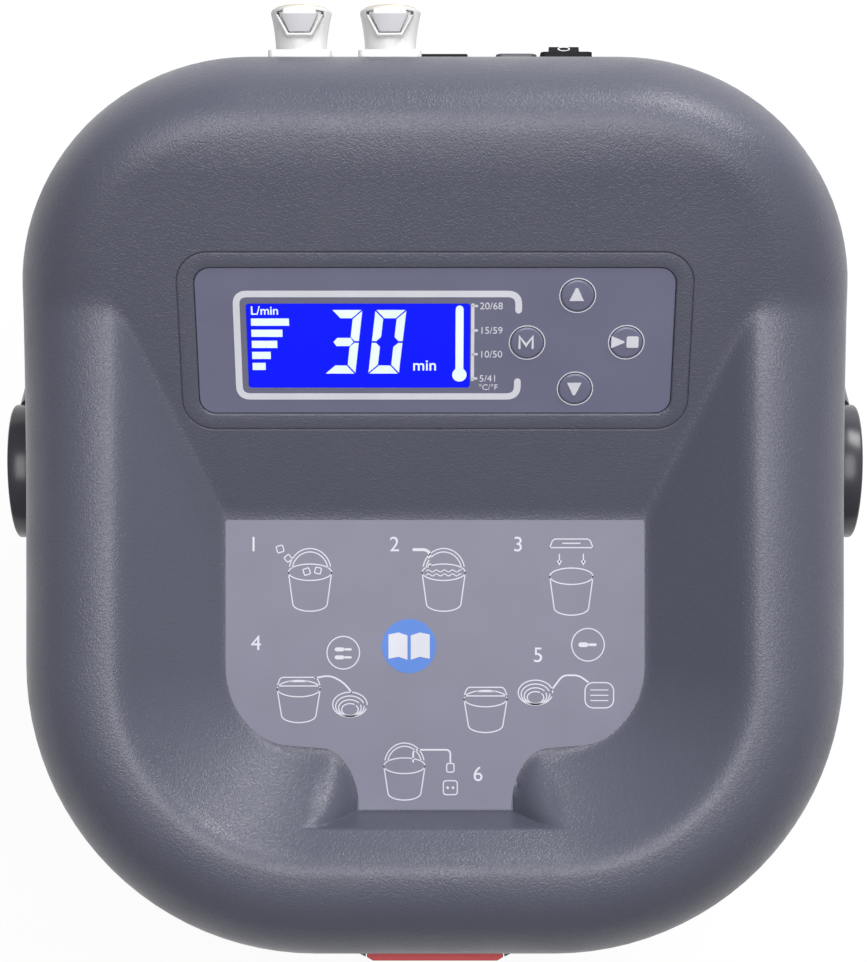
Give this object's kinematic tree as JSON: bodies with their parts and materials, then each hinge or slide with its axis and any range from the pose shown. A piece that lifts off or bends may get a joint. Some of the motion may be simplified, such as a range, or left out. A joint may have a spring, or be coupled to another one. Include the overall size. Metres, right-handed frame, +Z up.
{
  "type": "cold water therapy machine",
  "caption": "Insulated bucket with a swinging handle and a lift-off lid that carries a control panel, a pump leg, quick-disconnect hose couplings, a power inlet and a front latch.",
  "frame": {"origin": "centre of the lid's plan, on the surface the feet stand on", "axes": "+Z up, +Y to the back with the couplings, +X to the right of a person facing the front"},
  "size_m": [0.2746, 0.2859, 0.2674],
  "materials": {
    "bucket_plastic": "fine matt moulded plastic",
    "insulation": "rigid foam",
    "tank_plastic": "smooth satin plastic",
    "window_plastic": "clear tinted plastic",
    "rubber_grey": "matt rubber",
    "seal_rubber": "soft silicone",
    "steel": "plated steel",
    "latch_metal": "satin stainless",
    "handle_plastic": "fine grained plastic",
    "lid_plastic": "fine leather grain with a soft sheen",
    "overlay_film": "satin printed film",
    "button_plastic": "satin membrane",
    "display_glass": "glossy blue display",
    "display_module": "display cell",
    "label_silver": "satin silver film",
    "board_green": "solder mask",
    "black_plastic": "black plastic",
    "jack_metal": "grey moulded collar",
    "coupler_plastic": "white acetal",
    "latch_red": "satin red plastic",
    "hose_clear": "milky silicone",
    "wire_black": "wire jacket"
  },
  "bodies": {
    "bucket": {"bucket_shell": "bucket_plastic", "bucket_foam": "insulation", "bucket_liner": "tank_plastic", "bucket_rim": "bucket_plastic", "level_windows": "window_plastic", "foot_pads": "rubber_grey", "pivot_posts": "bucket_plastic", "pivot_screws": "steel", "front_strike": "steel", "rear_catch": "bucket_plastic"},
    "handle": {"handle_bail": "handle_plastic", "handle_grip": "rubber_grey", "hub_caps": "handle_plastic"},
    "lid": {"lid_top_shell": "lid_plastic", "lid_bottom_cover": "tank_plastic", "lid_seal": "seal_rubber", "lid_screws": "steel", "rear_hook": "black_plastic", "panel_bezel": "lid_plastic", "panel_overlay": "overlay_film", "lcd_window": "display_glass", "lcd_module": "display_module", "control_board": "board_green", "tact_switches": "black_plastic", "board_screws": "steel", "label_film": "label_silver", "rocker_frame": "black_plastic", "power_jack": "jack_metal", "power_wires": "wire_black", "outlet_coupler": "coupler_plastic", "return_coupler": "coupler_plastic", "coupler_nuts": "coupler_plastic", "latch_housing": "lid_plastic", "hoses": "hose_clear", "discharge_tube": "tank_plastic", "return_tube": "tank_plastic", "flow_sensor": "black_plastic", "temp_probe": "steel", "pump_stem": "tank_plastic", "pump_housing": "tank_plastic", "pump_motor": "steel", "pump_cover": "tank_plastic", "strainer": "black_plastic", "pump_wires": "wire_black"},
    "button_mode": {"button_mode": "button_plastic"},
    "button_up": {"button_up": "button_plastic"},
    "button_down": {"button_down": "button_plastic"},
    "button_start": {"button_start": "button_plastic"},
    "rocker": {"rocker_paddle": "black_plastic"},
    "outlet_thumb": {"outlet_thumb_latch": "latch_metal"},
    "return_thumb": {"return_thumb_latch": "latch_metal"},
    "outlet_valve": {"outlet_poppet": "coupler_plastic"},
    "return_valve": {"return_poppet": "coupler_plastic"},
    "latch": {"latch_button": "latch_red"},
    "impeller": {"pump_impeller": "coupler_plastic"}
  },
  "joints": [
    {"name": "handle_swing", "type": "hinge", "parent": "bucket", "child": "handle", "pos_m": [0, 0.0103, 0.17], "axis": [1, 0, 0], "range_deg": [0, 263]},
    {"name": "lid_lift", "type": "slide", "parent": "bucket", "child": "lid", "axis": [0, 0, 1], "range_m": [0, 0.2]},
    {"name": "mode_press", "type": "slide", "parent": "lid", "child": "button_mode", "axis": [0, 0.4067, -0.9135], "range_m": [0, 0.0004], "stiffness_N_per_m": 500, "springref_m": -0.0002},
    {"name": "up_press", "type": "slide", "parent": "lid", "child": "button_up", "axis": [0, 0.4067, -0.9135], "range_m": [0, 0.0004], "stiffness_N_per_m": 500, "springref_m": -0.0002},
    {"name": "down_press", "type": "slide", "parent": "lid", "child": "button_down", "axis": [0, 0.4067, -0.9135], "range_m": [0, 0.0004], "stiffness_N_per_m": 500, "springref_m": -0.0002},
    {"name": "start_press", "type": "slide", "parent": "lid", "child": "button_start", "axis": [0, 0.4067, -0.9135], "range_m": [0, 0.0004], "stiffness_N_per_m": 500, "springref_m": -0.0002},
    {"name": "rocker_tilt", "type": "hinge", "parent": "lid", "child": "rocker", "pos_m": [0.0388, 0.1318, 0.2195], "axis": [-1, 0, 0], "range_deg": [0, 16]},
    {"name": "outlet_thumb_press", "type": "slide", "parent": "lid", "child": "outlet_thumb", "axis": [0, 0, -1], "range_m": [0, 0.0014], "stiffness_N_per_m": 800, "springref_m": -0.001},
    {"name": "return_thumb_press", "type": "slide", "parent": "lid", "child": "return_thumb", "axis": [0, 0, -1], "range_m": [0, 0.0014], "stiffness_N_per_m": 800, "springref_m": -0.001},
    {"name": "outlet_valve_slide", "type": "slide", "parent": "lid", "child": "outlet_valve", "axis": [0, -1, 0], "range_m": [0, 0.002], "stiffness_N_per_m": 500, "springref_m": -0.001},
    {"name": "return_valve_slide", "type": "slide", "parent": "lid", "child": "return_valve", "axis": [0, -1, 0], "range_m": [0, 0.002], "stiffness_N_per_m": 500, "springref_m": -0.001},
    {"name": "latch_press", "type": "slide", "parent": "lid", "child": "latch", "axis": [0, 1, 0], "range_m": [0, 0.0025], "stiffness_N_per_m": 800, "springref_m": -0.001},
    {"name": "impeller_spin", "type": "hinge", "parent": "lid", "child": "impeller", "pos_m": [-0.0401, 0.062, 0.045], "axis": [0, 0, 1], "continuous": true}
  ]
}
